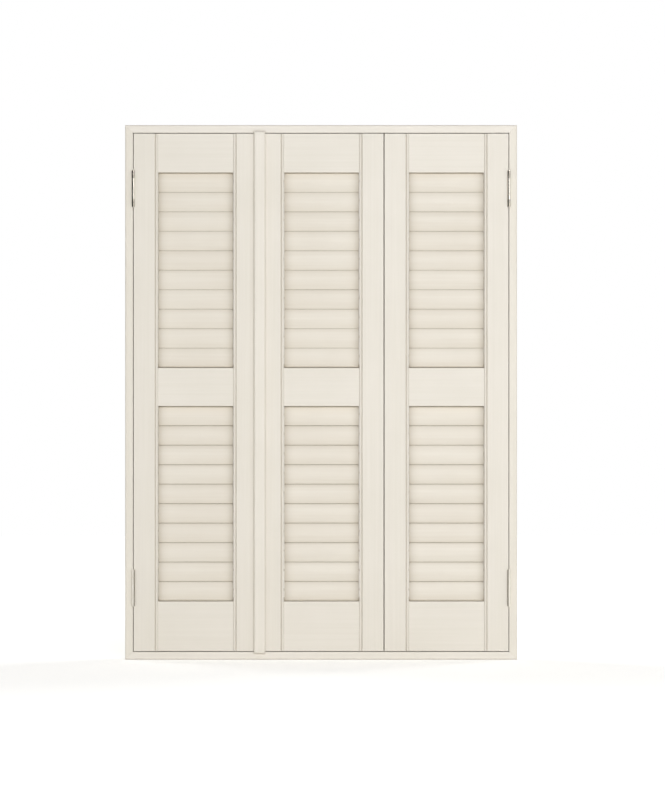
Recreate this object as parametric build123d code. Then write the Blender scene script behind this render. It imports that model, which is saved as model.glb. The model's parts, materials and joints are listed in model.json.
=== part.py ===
"""Three louvred window shutters in a wooden frame, in millimetres.

The room is towards -Y and the window is towards +Y. The origin is the middle of the sill's
underside. The left panel swings on the left jamb. The right panel swings on the right jamb and
carries the middle panel, which folds behind it. A cover strip on the left panel closes the joint
between the left and middle panels.
"""
import os
from math import cos, radians

from build123d import *

# Frame
frame_width = 824.0
frame_height = 1124.0
frame_depth = 48.0
jamb_thickness = 16.5
frame_edge_radius = 3.0
stop_projection = 15.0

# Frame screws, two through each jamb
screw_hole_radius = 2.5
screw_spacing = 560.0

# Gaps round and between the panels
side_gap = 1.5
fold_gap = 2.0
meeting_gap = 4.0
panel_proud = 0.8
stop_gap = 1.0

# Panels
panel_thickness = 28.0
stile_width = 51.0
bead_radius = 2.6
quirk_width = 1.4
rear_chamfer = 2.0
rail_recess = 2.0
top_rail_height = 81.7
middle_rail_height = 80.0
smallest_bottom_rail = 75.0
rebate_height = 8.0
rebate_offset = 1.2

# The fold joint: a tongue behind on the middle panel enters a rebate in the right panel
fold_tongue = 4.0
fold_tongue_clearance = 0.6

# Louvres
louvre_chord = 47.6
louvre_thickness = 7.5
louvre_tip = 1.6
louvre_tilt = 5.0
louvre_pitch = 41.0
louvre_end_gap = 0.6
louvre_pin_size = 4.0
last_louvre_gap = 1.0

# Tilt bars behind the louvres
tilt_bar_width = 10.0
tilt_bar_thickness = 3.0
tilt_bar_inset = 32.0
tilt_bar_end_margin = 12.0

# Cover strip over the joint between the left and middle panels
strip_width = 24.0
strip_seat = 8.0
strip_thickness = 8.0
strip_edge_radius = 4.0
strip_clearance = 0.8
strip_frame_lap = 3.5

# Hinges
hinge_length = 76.0
hinge_from_top = 134.0
hinge_from_bottom = 151.0
barrel_radius = 3.0
barrel_standoff = 3.2
pin_radius = 1.5
pin_clearance = 0.05
pin_end = 1.6
end_knuckle_length = 15.8
knuckle_gap = 0.4
leaf_thickness = 1.2
leaf_spacing = 0.6
leaf_depth = 24.0
fold_leaf_depth = 16.0
seat_clearance = 0.1

# Bar magnets in the stops, and their strike plates in the panels
magnet_length = 24.0
magnet_height = 8.0
magnet_depth = 4.0
strike_depth = 1.0
catch_clearance = 0.05

# Planes and places that follow from the sizes above
front = -frame_depth / 2
back = frame_depth / 2
panel_front = front - panel_proud
panel_back = panel_front + panel_thickness
panel_middle = (panel_front + panel_back) / 2
stop_front = panel_back + stop_gap
opening_left = -frame_width / 2 + jamb_thickness
opening_right = -opening_left
opening_bottom = jamb_thickness
opening_top = frame_height - jamb_thickness
panel_bottom = opening_bottom + side_gap
panel_top = opening_top - side_gap
panel_width = (opening_right - opening_left - 2 * side_gap - meeting_gap - fold_gap) / 3
left_panel_x = opening_left + side_gap
middle_panel_x = left_panel_x + panel_width + meeting_gap
right_panel_x = middle_panel_x + panel_width + fold_gap
height_for_louvres = panel_top - panel_bottom - top_rail_height - middle_rail_height
louvre_count = int(((height_for_louvres - smallest_bottom_rail) / 2 - last_louvre_gap) / louvre_pitch)
louvre_opening = louvre_count * louvre_pitch + last_louvre_gap
bottom_rail_height = height_for_louvres - 2 * louvre_opening
hinge_heights = {"upper": frame_height - hinge_from_top, "lower": hinge_from_bottom}
left_axis = opening_left + side_gap / 2
right_axis = opening_right - side_gap / 2
fold_axis = right_panel_x - fold_gap / 2 + fold_tongue


def box(x0, x1, y0, y1, z0, z1):
    """A block between two corners."""
    return Pos((x0 + x1) / 2, (y0 + y1) / 2, (z0 + z1) / 2) * Box(x1 - x0, y1 - y0, z1 - z0)


def upright(points, y0, y1):
    """A board whose outline is drawn in the X-Z plane and which runs from y0 to y1."""
    outline = Plane.XZ * make_face(Polyline(*points, close=True))
    return Pos(0, y1, 0) * extrude(outline, y1 - y0, dir=(0, -1, 0))


def mitred_side(side, inset, width, y0, y1):
    """One side of a mitred rectangle of boards, inset from the outside of the frame."""
    x0 = -frame_width / 2 + inset
    x1 = frame_width / 2 - inset
    z0 = inset
    z1 = frame_height - inset
    outer = {"left": ((x0, z0), (x0, z1)), "right": ((x1, z1), (x1, z0)),
             "head": ((x0, z1), (x1, z1)), "sill": ((x1, z0), (x0, z0))}[side]
    inner = [(x + width * (1 if x == x0 else -1), z + width * (1 if z == z0 else -1)) for x, z in outer]
    return upright([outer[0], outer[1], inner[1], inner[0]], y0, y1)


def outer_front_edge(board, side):
    """The long front edge of a frame board on the outside of the frame."""
    axis = Axis.X if side in ("left", "right") else Axis.Z
    last = -1 if side in ("right", "head") else 0
    return board.edges().group_by(Axis.Y)[0].sort_by(axis)[last]


def frame_board(side):
    """A jamb, the head or the sill. Its outer front edge is rounded, and a jamb takes screws and hinges."""
    board = mitred_side(side, 0, jamb_thickness, front, back)
    board = fillet(outer_front_edge(board, side), frame_edge_radius)
    if side not in ("left", "right"):
        return board
    inner_face = opening_left if side == "left" else opening_right
    hole = Rot(0, 90, 0) * Cylinder(screw_hole_radius, 3 * jamb_thickness)
    for z in screw_heights():
        board -= Pos(inner_face, panel_middle, z) * hole
    return board - leaf_seats(side, "carrier")


def screw_heights():
    """The heights of the two frame screws in each jamb."""
    return (frame_height / 2 - screw_spacing / 2, frame_height / 2 + screw_spacing / 2)


def magnet_places():
    """Where each free panel edge is held: the middle of a stile, at the head and at the sill."""
    left = left_panel_x + panel_width - stile_width / 2
    middle = middle_panel_x + stile_width / 2
    low = (panel_bottom + opening_bottom + stop_projection) / 2
    high = (panel_top + opening_top - stop_projection) / 2
    return {"left": ((left, low), (left, high)), "middle": ((middle, low), (middle, high))}


def catch_bar(x, z, y0, y1, clearance=0.0):
    """A magnet, a strike plate or, with a clearance, its seat: a short bar between two depths."""
    reach = magnet_length / 2 + clearance
    rise = magnet_height / 2 + clearance
    return box(x - reach, x + reach, y0, y1, z - rise, z + rise)


def stop_board(side):
    """The strip behind the panels, with seats for the magnets at the head and the sill."""
    board = mitred_side(side, jamb_thickness, stop_projection, stop_front, back)
    if side in ("left", "right"):
        return board
    for low, high in magnet_places().values():
        x, z = high if side == "head" else low
        board -= catch_bar(x, z, stop_front, stop_front + magnet_depth, catch_clearance)
    return board


def catch_magnets():
    """The four magnets, flush with the front of the stops."""
    places = [place for pair in magnet_places().values() for place in pair]
    return Compound([catch_bar(x, z, stop_front, stop_front + magnet_depth) for x, z in places])


def strikes(panel):
    """The steel plates in the back of one panel, facing its two magnets."""
    places = magnet_places()[panel]
    return Compound([catch_bar(x, z, panel_back - strike_depth, panel_back) for x, z in places])


def stile_profile():
    """The section of a stile, from its outer edge at x = 0 to a quirk and bead on the louvre side."""
    bead_start = stile_width - 2 * bead_radius
    quirk_start = bead_start - quirk_width
    rear_start = stile_width - rear_chamfer
    edge = Polyline((stile_width, bead_radius), (stile_width, panel_thickness - rear_chamfer),
                    (rear_start, panel_thickness), (0, panel_thickness), (0, 0), (quirk_start, 0),
                    (quirk_start, bead_radius), (bead_start, bead_radius))
    bead = ThreePointArc((bead_start, bead_radius), (stile_width - bead_radius, 0),
                         (stile_width, bead_radius))
    return make_face(edge + bead)


def stile(panel, panel_x, hand):
    """One upright of a panel. Its bead faces the room and runs the whole height, beside the louvres."""
    whole = extrude(stile_profile(), panel_top - panel_bottom)
    if hand == "right":
        whole = Pos(panel_width, 0, 0) * mirror(whole, Plane.YZ)
    whole = Pos(panel_x, panel_front, panel_bottom) * whole
    if (panel, hand) == ("middle", "right"):
        whole += fold_step(panel_x + panel_width, fold_tongue_clearance / 2)
    if (panel, hand) == ("right", "left"):
        whole -= fold_step(panel_x, -fold_tongue_clearance / 2)
    for (line, role), holder in hinged_stiles.items():
        if holder == (panel, hand):
            whole -= leaf_seats(line, role)
    holds_strikes = (panel, hand) in (("left", "right"), ("middle", "left"))
    for x, z in magnet_places()[panel] if holds_strikes else ():
        whole -= catch_bar(x, z, panel_back - strike_depth, panel_back, catch_clearance)
    return whole


def fold_step(x0, offset):
    """The tongue of the fold joint, or the rebate for it: the rear half of a stile's edge."""
    return box(x0, x0 + fold_tongue, panel_middle + offset, panel_back, panel_bottom, panel_top)


def rail_levels():
    """The lowest and highest level of each rail's front face."""
    middle_bottom = panel_bottom + bottom_rail_height + louvre_opening
    return {
        "bottom": (panel_bottom, panel_bottom + bottom_rail_height),
        "middle": (middle_bottom, middle_bottom + middle_rail_height),
        "top": (panel_top - top_rail_height, panel_top),
    }


def rail(panel_x, which):
    """A cross rail. Its edges beside louvres are rebated, so that the last louvres close on it."""
    low, high = rail_levels()[which]
    face = panel_front + rail_recess
    rear = panel_back - rail_recess
    lip = panel_middle - rebate_offset
    tongue = panel_middle + rebate_offset
    points = [(face, low), (face, high)]
    if which == "top":
        points += [(rear, high)]
    else:
        points += [(tongue, high), (tongue, high + rebate_height), (rear, high + rebate_height)]
    if which == "bottom":
        points += [(rear, low)]
    else:
        points += [(rear, low + rebate_height), (lip, low + rebate_height), (lip, low)]
    section = Plane.YZ * make_face(Polyline(*points, close=True))
    start = panel_x + stile_width
    return Pos(start, 0, 0) * extrude(section, panel_width - 2 * stile_width, dir=(1, 0, 0))


def louvre_radius():
    """The radius of a louvre's two curved faces, from its chord and thickness."""
    half = louvre_chord / 2
    rise = (louvre_thickness - louvre_tip) / 2
    return (half * half + rise * rise) / (2 * rise)


def louvre_profile():
    """The section of a louvre: two shallow arcs between narrow edges, upright and centred."""
    half = louvre_chord / 2
    edge = louvre_tip / 2
    bulge = louvre_thickness / 2
    front_face = ThreePointArc((-edge, -half), (-bulge, 0), (-edge, half))
    rear_face = ThreePointArc((edge, half), (bulge, 0), (edge, -half))
    top_edge = Line((-edge, half), (edge, half))
    bottom_edge = Line((edge, -half), (-edge, -half))
    return make_face(front_face + top_edge + rear_face + bottom_edge)


def louvre(length):
    """One louvre, from x = 0. A square pin on each end spans the gap to the stile that carries it."""
    blade = Pos(louvre_end_gap, 0, 0) * extrude(Plane.YZ * louvre_profile(), length - 2 * louvre_end_gap,
                                                dir=(1, 0, 0))
    pins = Pos(length / 2, 0, 0) * Box(length, louvre_pin_size, louvre_pin_size)
    return blade + pins


def bank_tops():
    """The level of the front rail edge above each bank of louvres."""
    levels = rail_levels()
    return {"upper": levels["top"][0], "lower": levels["middle"][0]}


def louvre_levels(bank):
    """The centre of each louvre in a bank, from the top down."""
    first = bank_tops()[bank] - louvre_pitch + louvre_chord / 2 * cos(radians(louvre_tilt))
    return [first - louvre_pitch * i for i in range(louvre_count)]


def louvres(panel_x):
    """Both banks of closed louvres in a panel. Each lower edge laps in front of the next louvre."""
    leaned = Rot(-louvre_tilt, 0, 0) * louvre(panel_width - 2 * stile_width)
    start = panel_x + stile_width
    levels = louvre_levels("upper") + louvre_levels("lower")
    return Compound([Pos(start, panel_middle, z) * leaned for z in levels])


def tilt_bar(panel_x, bank):
    """The bar that links a bank of louvres, behind them and near the right stile."""
    radius = louvre_radius()
    reach = radius - (radius - louvre_thickness / 2) * cos(radians(louvre_tilt))
    y0 = panel_middle + reach
    x1 = panel_x + panel_width - stile_width - tilt_bar_inset
    levels = louvre_levels(bank)
    z0 = levels[-1] - tilt_bar_end_margin
    z1 = levels[0] + tilt_bar_end_margin
    return box(x1 - tilt_bar_width, x1, y0, y0 + tilt_bar_thickness, z0, z1)


def cover_strip():
    """The moulding on the left panel. Its back steps clear of the middle panel and of the frame."""
    joint = left_panel_x + panel_width
    x0 = joint - strip_seat
    x1 = x0 + strip_width
    y0 = panel_front - strip_thickness
    z0 = opening_bottom - strip_frame_lap
    z1 = opening_top + strip_frame_lap
    strip = box(x0, x1, y0, panel_front, z0, z1)
    faces_room = strip.faces().sort_by(Axis.Y)[0]
    strip = fillet(faces_room.edges(), strip_edge_radius)
    return strip - box(joint, x1 + 1, panel_front - strip_clearance, panel_front, z0 - 1, z1 + 1)


def knuckles(which):
    """The stretches of barrel that belong to the outer or the inner leaf, about the hinge's middle."""
    end = hinge_length / 2
    shoulder = end - end_knuckle_length
    if which == "outer":
        return ((-end, -shoulder), (shoulder, end))
    return ((-shoulder + knuckle_gap, shoulder - knuckle_gap),)


def leaf_plate(side, y0, y1, z0, z1, clearance=0.0):
    """The flat of a leaf on one side of its axis, or the seat that it lies in when a clearance is given."""
    near = leaf_spacing / 2
    x0, x1 = sorted((side * near, side * (near + leaf_thickness + clearance)))
    return box(x0, x1, y0, y1 + clearance, z0 - clearance, z1 + clearance)


def hinge_leaf(which, side, depth):
    """A leaf and its knuckles. The axis is at the origin and the plate runs back along +Y."""
    clear = barrel_radius + knuckle_gap
    half = hinge_length / 2
    leaf = leaf_plate(side, clear, depth, -half, half)
    for low, high in knuckles(which):
        middle = Pos(0, 0, (low + high) / 2)
        leaf += leaf_plate(side, 0, clear, low, high) + middle * Cylinder(barrel_radius, high - low)
    return leaf - Cylinder(pin_radius + pin_clearance, 2 * hinge_length)


def hinge_pin():
    """The pin of one hinge. Its ends show above and below the barrel."""
    return Cylinder(pin_radius, hinge_length + 2 * pin_end)


# Each line of hinges: the place of its axis, the side that its carrier is on and how deep its leaves go
room_axis = panel_front - barrel_standoff
window_axis = panel_back + barrel_standoff
hinge_lines = {
    "left": {"place": Pos(left_axis, room_axis, 0), "carrier_side": -1, "depth": leaf_depth},
    "right": {"place": Pos(right_axis, room_axis, 0), "carrier_side": 1, "depth": leaf_depth},
    "fold": {"place": Pos(fold_axis, window_axis, 0) * Rot(0, 0, 180), "carrier_side": -1,
             "depth": fold_leaf_depth},
}
# The stiles that carry a leaf of each line
hinged_stiles = {
    ("left", "panel"): ("left", "left"),
    ("right", "panel"): ("right", "right"),
    ("fold", "panel"): ("middle", "right"),
    ("fold", "carrier"): ("right", "left"),
}


def leaf_seats(line, role):
    """What is cut from a board so that its leaves lie flush in it, for both hinges of a line."""
    facts = hinge_lines[line]
    side = facts["carrier_side"] * (1 if role == "carrier" else -1)
    half = hinge_length / 2
    seat = leaf_plate(side, 0, facts["depth"], -half, half, seat_clearance)
    return [facts["place"] * Pos(0, 0, z) * seat for z in hinge_heights.values()]


def frame_pieces():
    """The fixed frame, its stops and the magnets in them."""
    pieces = {"frame_left_jamb": frame_board("left"), "frame_right_jamb": frame_board("right"),
              "frame_head": frame_board("head"), "frame_sill": frame_board("sill")}
    for side in ("left", "right", "head", "sill"):
        pieces[f"{side}_stop"] = stop_board(side)
    pieces["catch_magnets"] = catch_magnets()
    return pieces


def panel_pieces(panel, panel_x):
    """The stiles, rails, louvres and tilt bars of one panel."""
    pieces = {}
    for hand in ("left", "right"):
        pieces[f"{panel}_panel_{hand}_stile"] = stile(panel, panel_x, hand)
    for which in ("top", "middle", "bottom"):
        pieces[f"{panel}_panel_{which}_rail"] = rail(panel_x, which)
    pieces[f"{panel}_panel_louvres"] = louvres(panel_x)
    for bank in ("upper", "lower"):
        pieces[f"{panel}_panel_{bank}_tilt_bar"] = tilt_bar(panel_x, bank)
    return pieces


def hinge_pieces():
    """Two hinges on each jamb, and two behind the joint of the middle and right panels."""
    pieces = {}
    for line, facts in hinge_lines.items():
        side = facts["carrier_side"]
        for level, z in hinge_heights.items():
            place = facts["place"] * Pos(0, 0, z)
            pieces[f"{line}_hinge_{level}_carrier_leaf"] = place * hinge_leaf("outer", side, facts["depth"])
            pieces[f"{line}_hinge_{level}_panel_leaf"] = place * hinge_leaf("inner", -side, facts["depth"])
            pieces[f"{line}_hinge_{level}_pin"] = place * hinge_pin()
    return pieces


def all_pieces():
    """Every piece of the shutters, by name."""
    pieces = frame_pieces()
    pieces |= panel_pieces("left", left_panel_x)
    pieces |= panel_pieces("middle", middle_panel_x)
    pieces |= panel_pieces("right", right_panel_x)
    pieces |= hinge_pieces()
    pieces["cover_strip"] = cover_strip()
    pieces["left_panel_strikes"] = strikes("left")
    pieces["middle_panel_strikes"] = strikes("middle")
    return pieces


os.makedirs("parts", exist_ok=True)
for name, piece in all_pieces().items():
    export_step(piece, f"parts/{name}.step")
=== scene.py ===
"""Louvred window shutters in their wooden frame: satin paint on wood, with plated hinges.

Everything is in metres. +Z is up, -Y is towards the room and +Y is towards the window.
"""
import json
import math

import bmesh
import bpy
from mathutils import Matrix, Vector

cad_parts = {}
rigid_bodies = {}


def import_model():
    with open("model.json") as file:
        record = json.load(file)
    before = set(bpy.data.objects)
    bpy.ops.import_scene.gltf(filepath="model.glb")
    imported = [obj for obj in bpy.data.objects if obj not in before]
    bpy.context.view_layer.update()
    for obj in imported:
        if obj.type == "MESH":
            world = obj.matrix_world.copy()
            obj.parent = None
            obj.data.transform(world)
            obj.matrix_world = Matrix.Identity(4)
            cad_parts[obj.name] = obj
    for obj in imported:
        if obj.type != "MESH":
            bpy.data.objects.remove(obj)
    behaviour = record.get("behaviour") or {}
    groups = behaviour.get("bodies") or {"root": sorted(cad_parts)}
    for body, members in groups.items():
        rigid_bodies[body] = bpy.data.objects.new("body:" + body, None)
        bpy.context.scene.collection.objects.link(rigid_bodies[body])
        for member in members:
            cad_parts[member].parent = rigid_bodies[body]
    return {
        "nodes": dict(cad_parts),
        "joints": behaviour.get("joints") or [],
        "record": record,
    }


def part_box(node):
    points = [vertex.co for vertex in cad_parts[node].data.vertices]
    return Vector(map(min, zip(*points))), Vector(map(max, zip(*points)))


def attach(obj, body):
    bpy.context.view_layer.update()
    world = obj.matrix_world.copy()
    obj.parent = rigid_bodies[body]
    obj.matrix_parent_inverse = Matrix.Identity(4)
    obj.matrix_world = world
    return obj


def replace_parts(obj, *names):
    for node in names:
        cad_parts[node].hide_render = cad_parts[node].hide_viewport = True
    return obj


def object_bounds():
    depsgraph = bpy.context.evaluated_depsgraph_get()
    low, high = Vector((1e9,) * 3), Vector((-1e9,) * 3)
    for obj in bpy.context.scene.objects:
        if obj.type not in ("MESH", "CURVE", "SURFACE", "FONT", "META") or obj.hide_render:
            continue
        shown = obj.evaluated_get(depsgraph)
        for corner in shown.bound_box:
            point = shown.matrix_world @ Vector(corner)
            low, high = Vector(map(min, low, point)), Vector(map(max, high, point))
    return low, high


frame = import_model()
cad_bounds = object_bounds()

MM = 0.001
PANELS = ("left", "middle", "right")

# Arrises: sandpaper takes the sharpness off each edge before it is painted
board_arris = 0.3 * MM
strip_arris = 0.25 * MM
plate_arris = 0.25 * MM
arris_steps = 2
sharpest_smooth = math.radians(28)
flat_enough = math.radians(0.5)
weld = 0.005 * MM
large_face_weight = 60

# Louvres
louvre_chord = 47.6 * MM
louvre_thickness = 7.5 * MM
louvre_tilt = math.radians(5)
tilt_error = math.radians(0.4)
lower_bank_tilt = math.radians(2.0)
louvre_end_gap = 0.6 * MM
louvre_fullness = 1.5
louvre_sides = 40
louvre_end_arris = 0.45 * MM
louvre_end_angle = math.radians(50)
louvre_tone_spread = 0.1
louvre_seed = 7
pin_radius = 2.0 * MM
pin_seat = 4.0 * MM
pin_sides = 16

# Hinges
LINE_OF_JOINT = {"left_panel_swing": "left", "right_panel_swing": "right", "middle_panel_fold": "fold"}
leaf_face = 0.3 * MM
leaf_screw_radius = 3.1 * MM
leaf_screw_heights = (-27 * MM, 0.0, 27 * MM)
leaf_screw_inset = 6 * MM
leaf_screw_stagger = 6 * MM
hinge_pin_dome = 0.9 * MM
round_sides = 28
dome_steps = 5
dome_turn = 0.92

# Screw heads. The cross recess is cut by two bars, in shares of the head's radius and height.
head_rise = 0.12 * MM
head_sink = 0.6 * MM
head_sides = 20
recess_width = 0.16
recess_length = 1.15
recess_bar = 1.2
recess_centre = 0.75
screw_seed = 3
bar_screw_radius = 1.8 * MM
strike_screw_radius = 1.5 * MM
strike_screw_reach = 8 * MM


def linear(code):
    """A colour written as sRGB hex, in the linear values that shaders work in."""
    parts = [int(code[i:i + 2], 16) / 255 for i in (0, 2, 4)]
    return [p / 12.92 if p <= 0.04045 else ((p + 0.055) / 1.055) ** 2.4 for p in parts] + [1.0]


def add(tree, kind, inputs=None, **settings):
    """Adds a node. inputs gives each socket, by name or number, a value or the output that feeds it."""
    made = tree.nodes.new(kind)
    for name, value in settings.items():
        setattr(made, name, value)
    for socket, value in (inputs or {}).items():
        if isinstance(value, bpy.types.NodeSocket):
            tree.links.new(value, made.inputs[socket])
        else:
            made.inputs[socket].default_value = value
    return made


def blank_material(name):
    """A material with an empty tree, and that tree."""
    material = bpy.data.materials.new(name)
    material.use_nodes = True
    material.node_tree.nodes.clear()
    return material, material.node_tree


# Paint. Softwood boards under two coats of satin oil paint, laid off with a brush along each board.
# The eye gets a warm white that is even from a step away, with a soft broad sheen, faint lines along
# the brush's path, and slightly yellower patches where the coat is thin. Bristles leave lines about
# 0.3 mm apart, too fine to show, so they are drawn 0.9 mm apart. A brown-grey painted shade darkens the
# creases, where boards meet and under the edge of each louvre, and the louvres' ends. Deep in a joint
# the painted shade fades out again.
bristle_line = 0.9 * MM
stroke_length = 70 * MM
grain_line = 5.0 * MM
grain_length = 4 * stroke_length
patch_size = 130 * MM
thick_coat = 0.75
thin_coat = 1.25
paint_relief = 0.03 * MM
smoothest_paint = 0.37
roughest_paint = 0.49
X_AXIS = 0
Z_AXIS = 2

# Most values of a noise lie between these two
noise_low = 0.3
noise_high = 0.7

# Painted shade in creases: how far a crease reaches, its strongest darkening, and the shares of open sky
# over a point at which the painted shade starts, is at its strongest, and fades again deep in a joint
painted_shade_colour = "968974"
board_crease_shade = {"reach": 3 * MM, "strongest": 0.25, "starts": 1.0, "full": 0.4, "fades": 0.35}
louvre_crease_shade = {"reach": 6 * MM, "strongest": 1.0, "starts": 0.8, "full": 0.25, "fades": 0.12}
sky_samples = 4
# Painted shade at the louvres' ends: where along a louvre it starts, how sharply it grows, and its
# strongest
end_shade_from = 0.62
end_shade_curve = 3.0
end_shade_strength = 0.43


def painted_crease_shade(tree, crease_shade_setting):
    """How strong the painted shade is: none in the open, the strongest in a crease, and none deep in a
    joint.
    """
    above = add(tree, "ShaderNodeAmbientOcclusion", {"Distance": crease_shade_setting["reach"]}, samples=sky_samples)
    sky = above.outputs["AO"]
    near_corner = add(tree, "ShaderNodeMapRange", {
        "Value": sky, "From Min": crease_shade_setting["starts"], "From Max": crease_shade_setting["full"],
        "To Min": 0.0, "To Max": crease_shade_setting["strongest"]})
    in_reach = add(tree, "ShaderNodeMapRange", {
        "Value": sky, "From Min": 0.0, "From Max": crease_shade_setting["fades"],
        "To Min": 0.0, "To Max": crease_shade_setting["strongest"]})
    return add(tree, "ShaderNodeMath", {
        0: near_corner.outputs["Result"], 1: in_reach.outputs["Result"]}, operation="MINIMUM").outputs[0]


def painted_end_shade(tree):
    """How strong a louvre's painted shade is by the nearness of its ends, next to the stiles."""
    place = add(tree, "ShaderNodeAttribute", attribute_name="along_louvre")
    from_middle = add(tree, "ShaderNodeMath", {0: place.outputs["Fac"]}, operation="ABSOLUTE")
    share = add(tree, "ShaderNodeMapRange", {
        "Value": from_middle.outputs[0], "From Min": end_shade_from, "From Max": 1.0})
    curve = add(tree, "ShaderNodeMath", {0: share.outputs["Result"], 1: end_shade_curve}, operation="POWER")
    shade_strength = add(tree, "ShaderNodeMath", {0: curve.outputs[0], 1: end_shade_strength}, operation="MULTIPLY")
    return shade_strength.outputs[0]


def satin_paint(name, colour, thin_colour, along, louvred=False):
    """Satin paint, brushed along one axis, with painted shade in its creases. Louvres vary a little in
    tone, and painted shade darkens their ends.
    """
    material, tree = blank_material(name)
    place = add(tree, "ShaderNodeTexCoord").outputs["Object"]

    def stretched(across, length):
        scale = [1 / across] * 3
        scale[along] = 1 / length
        return add(tree, "ShaderNodeMapping", {"Vector": place, "Scale": scale}).outputs["Vector"]

    bristles = add(tree, "ShaderNodeTexNoise", {
        "Vector": stretched(bristle_line, stroke_length), "Scale": 1.0, "Detail": 3.0, "Roughness": 0.55})
    grain = add(tree, "ShaderNodeTexNoise", {
        "Vector": stretched(grain_line, grain_length), "Scale": 1.0, "Detail": 2.0, "Roughness": 0.5})
    patches = add(tree, "ShaderNodeTexNoise", {
        "Vector": place, "Scale": 1 / patch_size, "Detail": 2.0, "Roughness": 0.5})
    thin = add(tree, "ShaderNodeMath", {
        0: patches.outputs["Fac"], 1: grain.outputs["Fac"]}, operation="ADD")
    if louvred:
        tone = add(tree, "ShaderNodeAttribute", attribute_name="louvre_tone")
        thin = add(tree, "ShaderNodeMath", {0: thin.outputs[0], 1: tone.outputs["Fac"]}, operation="ADD")
    share = add(tree, "ShaderNodeMapRange", {
        "Value": thin.outputs[0], "From Min": thick_coat, "From Max": thin_coat,
        "To Min": 0.0, "To Max": 1.0})
    coat = add(tree, "ShaderNodeMix", {
        0: share.outputs["Result"], 6: linear(colour), 7: linear(thin_colour)}, data_type="RGBA")
    # Painted shade: darker where a point sees little open sky, in creases and under each louvre's edge
    shade_strength = painted_crease_shade(tree, louvre_crease_shade if louvred else board_crease_shade)
    if louvred:
        # Painted shade: louvres darker towards their ends
        stronger = add(tree, "ShaderNodeMath", {0: shade_strength, 1: painted_end_shade(tree)}, operation="MAXIMUM")
        shade_strength = stronger.outputs[0]
    # Mixes the painted shade's colour into the coat
    shaded_coat = add(tree, "ShaderNodeMix", {
        0: shade_strength, 6: coat.outputs[2], 7: linear(painted_shade_colour)}, data_type="RGBA")
    sheen = add(tree, "ShaderNodeMapRange", {
        "Value": bristles.outputs["Fac"], "From Min": noise_low, "From Max": noise_high,
        "To Min": smoothest_paint, "To Max": roughest_paint})
    relief = add(tree, "ShaderNodeBump", {
        "Height": bristles.outputs["Fac"], "Strength": 0.4, "Distance": paint_relief})
    shader = add(tree, "ShaderNodeBsdfPrincipled", {
        "Base Color": shaded_coat.outputs[2], "Roughness": sheen.outputs["Result"],
        "Normal": relief.outputs["Normal"], "IOR": 1.5})
    add(tree, "ShaderNodeOutputMaterial", {"Surface": shader.outputs["BSDF"]})
    return material


# Metal. Steel plated and tumbled: bright, with fine scratches along the barrel, and duller where
# handling has rubbed the plating. The carrier leaves' plating is darker, a painted dark reflection
# that gives each barrel a dark side. The scratches are drawn several times as coarse as real ones,
# which would not show. The lower hinges at the jambs were painted over with the frame, in thin cream
# paint, and the side of their barrels next to the panel is painted dark as shade for the gap there.
scratch_line = 0.35 * MM
scratch_length = 12 * MM
rub_size = 9 * MM
rub_starts = 0.4
rub_full = 0.65
plate_smoother = 0.04
plate_rougher = 0.1
metal_relief = 0.02 * MM
barrel_line = max(abs(joint["pos_m"][0]) for joint in frame["joints"])
# How far in from the barrel's axis the painted shade on the side next to the panel starts and is full
gap_shade_starts = 0.8 * MM
gap_shade_full = 1.1 * MM


def painted_gap_shade(tree, place):
    """1 on the side of a jamb hinge's barrel next to the panel, where it is painted dark as shade, else 0.
    """
    across = add(tree, "ShaderNodeSeparateXYZ", {0: place}).outputs["X"]
    from_middle = add(tree, "ShaderNodeMath", {0: across}, operation="ABSOLUTE")
    return add(tree, "ShaderNodeMapRange", {
        "Value": from_middle.outputs[0], "From Min": barrel_line - gap_shade_starts,
        "From Max": barrel_line - gap_shade_full, "To Min": 0.0, "To Max": 1.0}).outputs["Result"]


def plated_steel(name, colour, rubbed_colour, roughness, metallic=1.0, gap_shade_colour=None):
    """Plated steel with fine scratches along Z and rubbed patches, and a side painted dark as shade when a
    colour for it is given.
    """
    material, tree = blank_material(name)
    place = add(tree, "ShaderNodeTexCoord").outputs["Object"]
    lines = add(tree, "ShaderNodeMapping", {
        "Vector": place, "Scale": (1 / scratch_line, 1 / scratch_line, 1 / scratch_length)})
    scratches = add(tree, "ShaderNodeTexNoise", {
        "Vector": lines.outputs["Vector"], "Scale": 1.0, "Detail": 2.0, "Roughness": 0.6})
    rubs = add(tree, "ShaderNodeTexNoise", {
        "Vector": place, "Scale": 1 / rub_size, "Detail": 3.0, "Roughness": 0.55})
    worn = add(tree, "ShaderNodeMapRange", {
        "Value": rubs.outputs["Fac"], "From Min": rub_starts, "From Max": rub_full,
        "To Min": 0.0, "To Max": 1.0})
    plating = add(tree, "ShaderNodeMix", {
        0: worn.outputs["Result"], 6: linear(colour), 7: linear(rubbed_colour)}, data_type="RGBA")
    # Painted shade: the barrel's side next to the panel is darkened, for the gap between barrel and panel
    if gap_shade_colour:
        plating = add(tree, "ShaderNodeMix", {
            0: painted_gap_shade(tree, place), 6: plating.outputs[2], 7: linear(gap_shade_colour)}, data_type="RGBA")
    sheen = add(tree, "ShaderNodeMapRange", {
        "Value": rubs.outputs["Fac"], "From Min": noise_low, "From Max": noise_high,
        "To Min": roughness - plate_smoother, "To Max": roughness + plate_rougher})
    relief = add(tree, "ShaderNodeBump", {
        "Height": scratches.outputs["Fac"], "Strength": 0.3, "Distance": metal_relief})
    shader = add(tree, "ShaderNodeBsdfPrincipled", {
        "Base Color": plating.outputs[2], "Metallic": metallic, "Roughness": sheen.outputs["Result"],
        "Normal": relief.outputs["Normal"]})
    add(tree, "ShaderNodeOutputMaterial", {"Surface": shader.outputs["BSDF"]})
    return material


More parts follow.
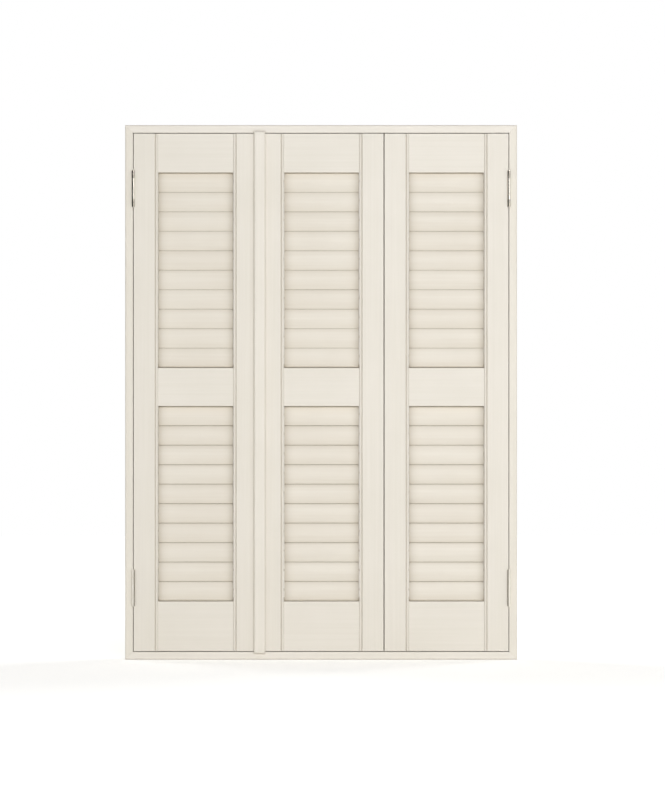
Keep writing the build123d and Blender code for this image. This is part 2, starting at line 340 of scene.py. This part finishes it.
frame_upright_paint = satin_paint("frame_satin_paint_upright", "ECE6DA", "E8E2D5", Z_AXIS)
frame_across_paint = satin_paint("frame_satin_paint_across", "F0EAE0", "ECE6DB", X_AXIS)
stile_paint = satin_paint("stile_satin_paint", "ECE6DB", "E8E2D6", Z_AXIS)
rail_paint = satin_paint("rail_satin_paint", "ECE6DB", "E8E2D6", X_AXIS)
louvre_paint = satin_paint("louvre_satin_paint", "E9E2D5", "E5DDCF", X_AXIS, louvred=True)
tilt_bar_paint = satin_paint("tilt_bar_satin_paint", "E8E1D4", "E4DCCE", Z_AXIS)
strip_paint = satin_paint("cover_strip_satin_paint", "EFE9DE", "EBE5D9", Z_AXIS)
bright_plate = plated_steel("bright_plated_steel", "E2DED4", "D2CDC2", 0.12)
# Darker plating for the carrier leaves: a painted dark reflection on one side of each barrel
dark_reflection_plate = plated_steel("dark_reflection_plated_steel", "B4AEA2", "98928A", 0.14)
# The lower jamb hinges: cream paint, with painted shade on the barrel's side next to the panel
cream_plate = plated_steel("cream_washed_plated_steel", "F8F3E8", "F0EADD", 0.4, metallic=0.0,
                           gap_shade_colour="756C5B")
nickel_plate = plated_steel("nickel_plated_magnet", "C9C8C4", "BDBBB5", 0.2)
zinc_plate = plated_steel("zinc_plated_steel", "BFC0BF", "ABABA8", 0.34)


record = frame["record"]
body_of_node = {node: body for body, nodes in record["behaviour"]["bodies"].items() for node in nodes}


def new_piece(name, mesh, material=None):
    """A new object in the scene that holds a mesh, and one material if it is given."""
    piece = bpy.data.objects.new(name, mesh)
    bpy.context.scene.collection.objects.link(piece)
    if material:
        mesh.materials.clear()
        mesh.materials.append(material)
    return piece


def settled(piece):
    """Turns what a piece's modifiers make into its plain mesh, and takes the modifiers off."""
    shown = piece.evaluated_get(bpy.context.evaluated_depsgraph_get())
    plain = bpy.data.meshes.new_from_object(shown)
    piece.modifiers.clear()
    piece.data = plain
    plain.name = piece.name
    return piece


def stand_in(piece, node):
    """The piece takes a CAD node's body, and is shown in its place while the node is hidden."""
    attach(piece, body_of_node[node])
    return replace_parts(piece, node)


def ease_arrises(piece, width):
    """Rounds the marked arrises of a board, and keeps its flat faces flat."""
    bevel = piece.modifiers.new("arris", "BEVEL")
    bevel.limit_method = "WEIGHT"
    bevel.width = width
    bevel.segments = arris_steps
    normals = piece.modifiers.new("flat faces", "WEIGHTED_NORMAL")
    normals.weight = large_face_weight
    normals.keep_sharp = True


def merged_mesh(node):
    """A copy of a CAD node as joined faces, in a bmesh."""
    solid = bmesh.new()
    solid.from_mesh(frame["nodes"][node].data)
    bmesh.ops.remove_doubles(solid, verts=solid.verts, dist=weld)
    bmesh.ops.dissolve_limit(solid, angle_limit=flat_enough, verts=solid.verts, edges=solid.edges)
    return solid


def eased_copy(node, material, width, name=None):
    """A CAD node's own shape with its outward arrises eased, standing for that node."""
    solid = merged_mesh(node)
    marks = solid.edges.layers.float.new("bevel_weight_edge")
    for face in solid.faces:
        face.smooth = True
    for edge in solid.edges:
        if edge.is_manifold and edge.is_convex and edge.calc_face_angle() > sharpest_smooth:
            edge[marks] = 1.0
        edge.smooth = not (edge.is_manifold and not edge.is_convex
                           and edge.calc_face_angle() > sharpest_smooth)
    mesh = bpy.data.meshes.new(name or f"painted_{node}")
    solid.to_mesh(mesh)
    solid.free()
    piece = new_piece(mesh.name, mesh, material)
    ease_arrises(piece, width)
    return stand_in(settled(piece), node)


def solids_in(node):
    """The lowest and highest corner of each separate solid in a CAD node, from the top down."""
    solid = merged_mesh(node)
    waiting = set(solid.verts)
    corners = []
    while waiting:
        reached = [waiting.pop()]
        for vert in reached:
            near = {edge.other_vert(vert) for edge in vert.link_edges} & waiting
            waiting -= near
            reached.extend(near)
        low = Vector([min(vert.co[i] for vert in reached) for i in range(3)])
        high = Vector([max(vert.co[i] for vert in reached) for i in range(3)])
        corners.append((low, high))
    solid.free()
    return sorted(corners, key=lambda pair: -pair[0].z)


def points_mesh(name, places, **attributes):
    """A mesh of loose points, each with the given named values."""
    mesh = bpy.data.meshes.new(name)
    mesh.from_pydata(places, [], [])
    for key, values in attributes.items():
        kind = "FLOAT_VECTOR" if isinstance(values[0], (tuple, Vector)) else "FLOAT"
        held = mesh.attributes.new(key, kind, "POINT")
        for item, value in zip(held.data, values):
            if kind == "FLOAT_VECTOR":
                item.vector = value
            else:
                item.value = value
    return mesh


def new_tree(name, sockets):
    """A geometry tree with named inputs and one geometry output, and its input node."""
    tree = bpy.data.node_groups.new(name, "GeometryNodeTree")
    for label, kind in sockets:
        tree.interface.new_socket(label, in_out="INPUT", socket_type=f"NodeSocket{kind}")
    tree.interface.new_socket("Pieces", in_out="OUTPUT", socket_type="NodeSocketGeometry")
    return tree, add(tree, "NodeGroupInput").outputs


def finish_tree(tree, instances, material):
    """Makes the instances real, smooths them and gives them their material."""
    real = add(tree, "GeometryNodeRealizeInstances", {"Geometry": instances})
    smooth = add(tree, "GeometryNodeSetShadeSmooth", {"Geometry": real.outputs[0], "Shade Smooth": True})
    painted = add(tree, "GeometryNodeSetMaterial", {"Geometry": smooth.outputs[0], "Material": material})
    add(tree, "NodeGroupOutput", {0: painted.outputs[0]})


def louvre_tree():
    """Louvres on their centres: a blade of oval section, square-ended, with a round pin through it.

    The section is a circle drawn out to the chord. Its height is y to a power, which keeps the faces
    full and brings both long edges to a narrow nose.
    """
    tree, given = new_tree("louvres_on_their_centres", [
        ("Centres", "Geometry"), ("Blade Length", "Float"), ("Chord", "Float"), ("Thickness", "Float"),
        ("Fullness", "Float"), ("Sides", "Int"), ("Tilt", "Float"), ("Tilt Error", "Float"),
        ("Pin Radius", "Float"), ("Pin Length", "Float"), ("Pin Sides", "Int"),
        ("Tone Spread", "Float"), ("Seed", "Int"), ("Paint", "Material")])

    def maths(operation, a, b=0.0):
        return add(tree, "ShaderNodeMath", {0: a, 1: b}, operation=operation).outputs[0]

    circle = add(tree, "GeometryNodeCurvePrimitiveCircle", {"Resolution": given["Sides"], "Radius": 1.0})
    at = add(tree, "ShaderNodeSeparateXYZ", {0: add(tree, "GeometryNodeInputPosition").outputs[0]}).outputs
    rise = maths("POWER", maths("ABSOLUTE", at["Y"]), given["Fullness"])
    side = maths("MULTIPLY", rise, maths("SIGN", at["Y"]))
    section_place = add(tree, "ShaderNodeCombineXYZ", {
        "X": maths("MULTIPLY", at["X"], maths("DIVIDE", given["Chord"], 2.0)),
        "Y": maths("MULTIPLY", side, maths("DIVIDE", given["Thickness"], 2.0))})
    section = add(tree, "GeometryNodeSetPosition", {
        "Geometry": circle.outputs[0], "Position": section_place.outputs[0]})
    half_length = maths("DIVIDE", given["Blade Length"], 2.0)
    path = add(tree, "GeometryNodeCurvePrimitiveLine", {
        "Start": add(tree, "ShaderNodeCombineXYZ", {"Z": maths("MULTIPLY", half_length, -1.0)}).outputs[0],
        "End": add(tree, "ShaderNodeCombineXYZ", {"Z": half_length}).outputs[0]})
    blade = add(tree, "GeometryNodeCurveToMesh", {
        "Curve": path.outputs[0], "Profile Curve": section.outputs[0], "Fill Caps": True})
    on_blade = add(tree, "ShaderNodeSeparateXYZ", {0: add(tree, "GeometryNodeInputPosition").outputs[0]})
    measured = add(tree, "GeometryNodeStoreNamedAttribute", {
        "Geometry": blade.outputs[0], "Name": "along_louvre",
        "Value": maths("DIVIDE", on_blade.outputs["Z"], half_length)},
        data_type="FLOAT", domain="POINT")
    pin = add(tree, "GeometryNodeMeshCylinder", {
        "Vertices": given["Pin Sides"], "Radius": given["Pin Radius"], "Depth": given["Pin Length"]})
    both = add(tree, "GeometryNodeJoinGeometry")
    tree.links.new(measured.outputs[0], both.inputs[0])
    tree.links.new(pin.outputs["Mesh"], both.inputs[0])
    # The blade is drawn along Z with its chord along X, so it is laid along X with its chord upright
    laid = add(tree, "GeometryNodeTransform", {
        "Geometry": both.outputs[0], "Rotation": (0.0, math.pi / 2, 0.0)})
    lean = add(tree, "ShaderNodeCombineXYZ", {"X": maths("MULTIPLY", given["Tilt"], -1.0)})
    leaned = add(tree, "GeometryNodeTransform", {
        "Geometry": laid.outputs[0], "Rotation": lean.outputs[0]})
    # No bank closes quite evenly, and each louvre turns about its own pins
    error = add(tree, "FunctionNodeRandomValue", {
        2: maths("MULTIPLY", given["Tilt Error"], -1.0), 3: given["Tilt Error"], "Seed": given["Seed"]},
        data_type="FLOAT")
    more = add(tree, "GeometryNodeInputNamedAttribute", {"Name": "further_open"}, data_type="FLOAT")
    turn = maths("MULTIPLY", maths("ADD", error.outputs[1], more.outputs["Attribute"]), -1.0)
    placed = add(tree, "GeometryNodeInstanceOnPoints", {
        "Points": given["Centres"], "Instance": leaned.outputs[0],
        "Rotation": add(tree, "ShaderNodeCombineXYZ", {"X": turn}).outputs[0]})
    tone = add(tree, "FunctionNodeRandomValue", {
        2: maths("MULTIPLY", given["Tone Spread"], -1.0), 3: given["Tone Spread"], "Seed": given["Seed"]},
        data_type="FLOAT")
    toned = add(tree, "GeometryNodeStoreNamedAttribute", {
        "Geometry": placed.outputs[0], "Name": "louvre_tone", "Value": tone.outputs[1]},
        data_type="FLOAT", domain="INSTANCE")
    finish_tree(tree, toned.outputs[0], given["Paint"])
    return tree


def screw_tree():
    """Flush screw heads with a cross recess, on points that hold which way each faces and its radius."""
    tree, given = new_tree("screw_heads", [
        ("Places", "Geometry"), ("Rise", "Float"), ("Sink", "Float"), ("Sides", "Int"),
        ("Recess Width", "Float"), ("Recess Length", "Float"), ("Recess Bar", "Float"),
        ("Recess Centre", "Float"), ("Seed", "Int"), ("Metal", "Material")])
    depth = add(tree, "ShaderNodeMath", {0: given["Rise"], 1: given["Sink"]}, operation="ADD")
    head = add(tree, "GeometryNodeMeshCylinder", {
        "Vertices": given["Sides"], "Radius": 1.0, "Depth": 1.0})
    arm = add(tree, "ShaderNodeCombineXYZ", {
        "X": given["Recess Length"], "Y": given["Recess Width"], "Z": given["Recess Bar"]})
    bar = add(tree, "GeometryNodeMeshCube", {"Size": arm.outputs[0]})
    lift = add(tree, "ShaderNodeCombineXYZ", {"Z": given["Recess Centre"]})
    raised = add(tree, "GeometryNodeTransform", {
        "Geometry": bar.outputs["Mesh"], "Translation": lift.outputs[0]})
    crossed = add(tree, "GeometryNodeTransform", {
        "Geometry": raised.outputs[0], "Rotation": (0.0, 0.0, math.pi / 2)})
    cut = add(tree, "GeometryNodeMeshBoolean", {
        0: head.outputs["Mesh"]}, operation="DIFFERENCE", solver="EXACT")
    tree.links.new(raised.outputs[0], cut.inputs[1])
    tree.links.new(crossed.outputs[0], cut.inputs[1])
    # A head of full depth is centred on its point, so it moves out by half of what rises less what sinks
    sunk = add(tree, "ShaderNodeMath", {0: given["Rise"], 1: given["Sink"]}, operation="SUBTRACT")
    halved = add(tree, "ShaderNodeMath", {0: sunk.outputs[0], 1: 2.0}, operation="DIVIDE")
    facing = add(tree, "GeometryNodeInputNamedAttribute", {"Name": "outward"}, data_type="FLOAT_VECTOR")
    width = add(tree, "GeometryNodeInputNamedAttribute", {"Name": "head_radius"}, data_type="FLOAT")
    turned = add(tree, "FunctionNodeAlignRotationToVector", {
        "Vector": facing.outputs["Attribute"]}, axis="Z")
    spin = add(tree, "FunctionNodeRandomValue", {
        2: 0.0, 3: math.pi, "Seed": given["Seed"]}, data_type="FLOAT")
    twist = add(tree, "FunctionNodeAxisAngleToRotation", {
        "Axis": (0.0, 0.0, 1.0), "Angle": spin.outputs[1]})
    rotation = add(tree, "FunctionNodeRotateRotation", {
        "Rotation": turned.outputs[0], "Rotate By": twist.outputs[0]}, rotation_space="LOCAL")
    size = add(tree, "ShaderNodeCombineXYZ", {
        "X": width.outputs["Attribute"], "Y": width.outputs["Attribute"], "Z": depth.outputs[0]})
    placed = add(tree, "GeometryNodeInstanceOnPoints", {
        "Points": given["Places"], "Instance": cut.outputs["Mesh"], "Rotation": rotation.outputs[0],
        "Scale": size.outputs[0]})
    shift = add(tree, "ShaderNodeVectorMath", {
        0: facing.outputs["Attribute"], "Scale": halved.outputs[0]}, operation="SCALE")
    moved = add(tree, "GeometryNodeTranslateInstances", {
        "Instances": placed.outputs[0], "Translation": shift.outputs[0], "Local Space": False})
    finish_tree(tree, moved.outputs[0], given["Metal"])
    return tree


def grown(name, mesh, tree, values):
    """A piece that a geometry tree grows on a mesh of points. Its modifier is left on for settled()."""
    piece = new_piece(name, mesh)
    grow = piece.modifiers.new("grow", "NODES")
    grow.node_group = tree
    for item in tree.interface.items_tree:
        if item.in_out == "INPUT" and item.name in values:
            grow[item.identifier] = values[item.name]
    return piece


def make_louvres(panel, tree):
    """The louvres of one panel, grown on the centres of the solids that they replace."""
    node = f"{panel}_panel_louvres"
    solids = solids_in(node)
    opening = solids[0][1].x - solids[0][0].x
    centres = [(low + high) / 2 for low, high in solids]
    middle_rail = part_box(f"{panel}_panel_middle_rail")[0].z
    further = [lower_bank_tilt if centre.z < middle_rail else 0.0 for centre in centres]
    places = points_mesh(f"{panel}_louvre_centres", centres, further_open=further)
    piece = grown(f"{panel}_panel_painted_louvres", places, tree, {
        "Blade Length": opening - 2 * louvre_end_gap, "Chord": louvre_chord, "Thickness": louvre_thickness,
        "Fullness": louvre_fullness, "Sides": louvre_sides, "Tilt": louvre_tilt, "Tilt Error": tilt_error,
        "Pin Radius": pin_radius, "Pin Length": opening + 2 * pin_seat, "Pin Sides": pin_sides,
        "Tone Spread": louvre_tone_spread, "Seed": louvre_seed + PANELS.index(panel),
        "Paint": louvre_paint})
    bevel = piece.modifiers.new("end arris", "BEVEL")
    bevel.limit_method = "ANGLE"
    bevel.angle_limit = louvre_end_angle
    bevel.width = louvre_end_arris
    bevel.segments = arris_steps
    normals = piece.modifiers.new("flat ends", "WEIGHTED_NORMAL")
    normals.weight = large_face_weight
    stand_in(settled(piece), node)


def hinge_lines():
    """For each line of hinges: its bodies, its axis, the carrier's side, and which way the leaves run."""
    lines = {}
    for joint in frame["joints"]:
        line = LINE_OF_JOINT[joint["name"]]
        lines[line] = {
            "carrier": joint["parent"], "panel": joint["child"], "axis": Vector(joint["pos_m"]),
            "carrier_side": -1 if line == "left" else 1, "into": -1 if line == "fold" else 1}
    return lines


def leaf_screws(line, level, facts):
    """The places of the screws in both leaves of one hinge, the middle ones nearer the barrel."""
    low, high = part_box(f"{line}_hinge_{level}_carrier_leaf")
    middle = (low.z + high.z) / 2
    far_edge = high.y if facts["into"] > 0 else low.y
    carrier_side = facts["carrier_side"]
    found = []
    for body, side in ((facts["carrier"], carrier_side), (facts["panel"], -carrier_side)):
        face = facts["axis"].x + side * leaf_face
        for rise in leaf_screw_heights:
            inset = leaf_screw_inset + (0.0 if rise else leaf_screw_stagger)
            place = Vector((face, far_edge - facts["into"] * inset, middle + rise))
            found.append((body, place, Vector((-side, 0, 0)), leaf_screw_radius))
    return found


def bar_screws(panel):
    """One small screw through each tilt bar at each louvre."""
    found = []
    louvres = solids_in(f"{panel}_panel_louvres")
    for bank in ("upper", "lower"):
        low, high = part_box(f"{panel}_panel_{bank}_tilt_bar")
        for bottom, top in louvres:
            z = (bottom.z + top.z) / 2
            if low.z < z < high.z:
                place = Vector(((low.x + high.x) / 2, high.y, z))
                found.append((f"{panel}_panel", place, Vector((0, 1, 0)), bar_screw_radius))
    return found


def strike_screws(node):
    """Two screws in each strike plate."""
    found = []
    for low, high in solids_in(node):
        middle = (low + high) / 2
        for side in (-1, 1):
            place = Vector((middle.x + side * strike_screw_reach, high.y, middle.z))
            found.append((body_of_node[node], place, Vector((0, 1, 0)), strike_screw_radius))
    return found


def make_screws():
    """All the screw heads, as one piece for each body."""
    found = []
    for line, facts in hinge_lines().items():
        for level in ("upper", "lower"):
            found += leaf_screws(line, level, facts)
    for panel in PANELS:
        found += bar_screws(panel)
    for node in ("left_panel_strikes", "middle_panel_strikes"):
        found += strike_screws(node)
    tree = screw_tree()
    for body in sorted({row[0] for row in found}):
        rows = [row for row in found if row[0] == body]
        mesh = points_mesh(f"{body}_screw_places", [row[1] for row in rows],
                           outward=[row[2] for row in rows], head_radius=[row[3] for row in rows])
        piece = settled(grown(f"{body}_screw_heads", mesh, tree, {
            "Rise": head_rise, "Sink": head_sink, "Sides": head_sides, "Recess Width": recess_width,
            "Recess Length": recess_length, "Recess Bar": recess_bar, "Recess Centre": recess_centre,
            "Seed": screw_seed, "Metal": bright_plate}))
        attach(piece, body)


def turned(name, outline, centre, material):
    """A round piece about an upright axis. The outline is (radius, height) from bottom to top."""
    solid = bmesh.new()
    angles = [math.tau * i / round_sides for i in range(round_sides)]
    rings = []
    for radius, height in outline:
        rings.append([solid.verts.new((
            centre.x + radius * math.cos(angle), centre.y + radius * math.sin(angle), centre.z + height))
            for angle in angles])
    for lower, upper in zip(rings, rings[1:]):
        for i in range(round_sides):
            j = (i + 1) % round_sides
            solid.faces.new((lower[i], lower[j], upper[j], upper[i]))
    solid.faces.new(list(reversed(rings[0])))
    solid.faces.new(rings[-1])
    for face in solid.faces:
        face.smooth = True
    mesh = bpy.data.meshes.new(name)
    solid.to_mesh(mesh)
    solid.free()
    return new_piece(name, mesh, material)


def make_hinge_pin(node, material):
    """A hinge pin with domed ends. Each dome turns in to a small flat at its middle."""
    low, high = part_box(node)
    radius = (high.x - low.x) / 2
    half = (high.z - low.z) / 2
    turns = [math.pi / 2 * step / dome_steps for step in range(dome_steps + 1)]
    top = [(radius * math.cos(dome_turn * turn), half - hinge_pin_dome + hinge_pin_dome * math.sin(turn))
           for turn in turns]
    outline = [(r, -h) for r, h in reversed(top)] + top
    piece = turned(f"domed_{node}", outline, (low + high) / 2, material)
    stand_in(piece, node)


def make_frame_boards():
    """The frame's boards and stops, brushed along their length."""
    for side, paint in (("left", frame_upright_paint), ("right", frame_upright_paint),
                        ("head", frame_across_paint), ("sill", frame_across_paint)):
        board = f"frame_{side}_jamb" if side in ("left", "right") else f"frame_{side}"
        eased_copy(board, paint, board_arris)
        eased_copy(f"{side}_stop", paint, board_arris)


def make_panel_boards(panel):
    """The stiles, rails and tilt bars of one panel."""
    for hand in ("left", "right"):
        eased_copy(f"{panel}_panel_{hand}_stile", stile_paint, strip_arris)
    for which in ("top", "middle", "bottom"):
        eased_copy(f"{panel}_panel_{which}_rail", rail_paint, board_arris)
    for bank in ("upper", "lower"):
        eased_copy(f"{panel}_panel_{bank}_tilt_bar", tilt_bar_paint, strip_arris)


def make_hinges():
    """The leaves and pins of the six hinges. The carrier leaves' plating is darker, a painted dark
    reflection.
    """
    for line in ("left", "right", "fold"):
        for level in ("upper", "lower"):
            washed = level == "lower" and line != "fold"
            for role, plating in (("carrier", dark_reflection_plate), ("panel", bright_plate)):
                node = f"{line}_hinge_{level}_{role}_leaf"
                eased_copy(node, cream_plate if washed else plating, plate_arris, name=f"plated_{node}")
            make_hinge_pin(f"{line}_hinge_{level}_pin", cream_plate if washed else bright_plate)


def make_catches():
    """The magnets and the strike plates that they hold."""
    eased_copy("catch_magnets", nickel_plate, strip_arris, name="plated_catch_magnets")
    for panel in ("left", "middle"):
        eased_copy(f"{panel}_panel_strikes", zinc_plate, plate_arris, name=f"plated_{panel}_panel_strikes")


make_frame_boards()
louvres_on_centres = louvre_tree()
for panel in PANELS:
    make_panel_boards(panel)
    make_louvres(panel, louvres_on_centres)
eased_copy("cover_strip", strip_paint, strip_arris)
make_hinges()
make_catches()
make_screws()


# The studio: a pale floor that runs out of view, a white world, and soft lamps before and behind the
# shutters. What the camera and the reflections see of the stage is white, and the floor keeps a shadow.
floor_reach = 8.0
floor_colour = "F8F7F4"
near_reach = 0.6
far_reach = 3.5
near_glow = 0.41
far_glow = 0.74
air_light = 0.3
air_seen = 1.0
WHITE = (1.0, 1.0, 1.0, 1.0)
BLACK = (0.0, 0.0, 0.0, 1.0)

# The card's left and right ends on the floor
card_left = (-2.6, 0.6)
card_right = (-0.45, -3.4)
card_height = 2.6

# The camera
camera_distance = 9.205
lens_mm = 200
sensor_mm = 36
aim_x = 0.0240
aim_z = 0.5575


def seen_rays(tree):
    """1 for the rays by which the stage is seen, also in reflections, and 0 for those that light."""
    rays = add(tree, "ShaderNodeLightPath").outputs
    direct = add(tree, "ShaderNodeMath", {
        0: rays["Is Camera Ray"], 1: rays["Is Glossy Ray"]}, operation="MAXIMUM")
    seen = add(tree, "ShaderNodeMath", {
        0: direct.outputs[0], 1: rays["Is Transmission Ray"]}, operation="MAXIMUM")
    return seen.outputs[0]


def add_floor():
    """The floor. It glows more where it is further from the shutters, because the lamps reach it less."""
    mesh = bpy.data.meshes.new("studio_floor")
    r = floor_reach
    mesh.from_pydata([(-r, -r, 0), (r, -r, 0), (r, r, 0), (-r, r, 0)], [], [(0, 1, 2, 3)])
    material, tree = blank_material("pale_floor")
    matt = add(tree, "ShaderNodeBsdfDiffuse", {"Color": linear(floor_colour)})
    place = add(tree, "ShaderNodeTexCoord").outputs["Object"]
    away = add(tree, "ShaderNodeVectorMath", {0: place}, operation="LENGTH")
    level = add(tree, "ShaderNodeMapRange", {
        0: away.outputs["Value"], 1: near_reach, 2: far_reach, 3: near_glow, 4: far_glow},
        interpolation_type="SMOOTHSTEP")
    glow = add(tree, "ShaderNodeEmission", {"Color": WHITE, "Strength": level.outputs[0]})
    lit = add(tree, "ShaderNodeAddShader", {0: matt.outputs[0], 1: glow.outputs[0]})
    choice = add(tree, "ShaderNodeMixShader", {0: seen_rays(tree), 1: matt.outputs[0], 2: lit.outputs[0]})
    add(tree, "ShaderNodeOutputMaterial", {"Surface": choice.outputs[0]})
    new_piece("studio_floor", mesh, material)


def add_world():
    """A world that is white where it is seen and dim where it lights the shutters."""
    world = bpy.data.worlds.new("studio_air")
    bpy.context.scene.world = world
    world.use_nodes = True
    air = world.node_tree
    air.nodes.clear()
    dim = add(air, "ShaderNodeBackground", {"Color": WHITE, "Strength": air_light})
    white = add(air, "ShaderNodeBackground", {"Color": WHITE, "Strength": air_seen})
    choice = add(air, "ShaderNodeMixShader", {0: seen_rays(air), 1: dim.outputs[0], 2: white.outputs[0]})
    add(air, "ShaderNodeOutputWorld", {"Surface": choice.outputs[0]})


def add_black_card():
    """A card that only reflections show, at the left. It gives the polished hinges their dark side."""
    mesh = bpy.data.meshes.new("black_card")
    corners = [(*card_left, 0), (*card_right, 0), (*card_right, card_height), (*card_left, card_height)]
    mesh.from_pydata(corners, [], [(0, 1, 2, 3)])
    material, tree = blank_material("black_card")
    black = add(tree, "ShaderNodeEmission", {"Color": BLACK, "Strength": 0.0})
    add(tree, "ShaderNodeOutputMaterial", {"Surface": black.outputs[0]})
    card = new_piece("black_card", mesh, material)
    card.visible_camera = False
    card.visible_diffuse = False
    card.visible_shadow = False
    card.visible_transmission = False


def add_lamp(name, place, size, watts, in_reflections=True):
    """A soft square white lamp that faces the middle of the shutters."""
    light = bpy.data.lights.new(name, "AREA")
    light.size = size
    light.energy = watts
    lamp = bpy.data.objects.new(name, light)
    lamp.location = place
    lamp.rotation_euler = (Vector((0, 0, aim_z)) - Vector(place)).to_track_quat("-Z", "Y").to_euler()
    lamp.visible_glossy = in_reflections
    bpy.context.scene.collection.objects.link(lamp)


def add_camera():
    """The camera looks straight at the shutters from far off, a little to the right of their middle."""
    lens = bpy.data.cameras.new("camera")
    lens.lens = lens_mm
    lens.sensor_width = sensor_mm
    lens.sensor_fit = "AUTO"
    camera = bpy.data.objects.new("camera", lens)
    camera.location = (aim_x, cad_bounds[0][1] - camera_distance, aim_z)
    camera.rotation_euler = (math.pi / 2, 0, 0)
    bpy.context.scene.collection.objects.link(camera)
    bpy.context.scene.camera = camera


add_floor()
add_world()
add_black_card()
add_lamp("front_lamp", place=(1.2, -10.5, 3.2), size=2.0, watts=400)
add_lamp("low_lamp", place=(0.3, -1.9, 0.1), size=0.6, watts=4.4, in_reflections=False)
add_lamp("left_lamp", place=(-2.3, -2.2, 0.1), size=1.0, watts=10.5, in_reflections=False)
add_lamp("right_lamp", place=(2.3, -2.2, 0.5), size=1.2, watts=10.5)
add_lamp("back_left_lamp", place=(-3.0, 3.0, 2.0), size=1.4, watts=58, in_reflections=False)
add_lamp("back_right_lamp", place=(3.0, 3.0, 2.0), size=1.4, watts=68, in_reflections=False)
add_camera()
bpy.context.scene.view_settings.view_transform = "Standard"
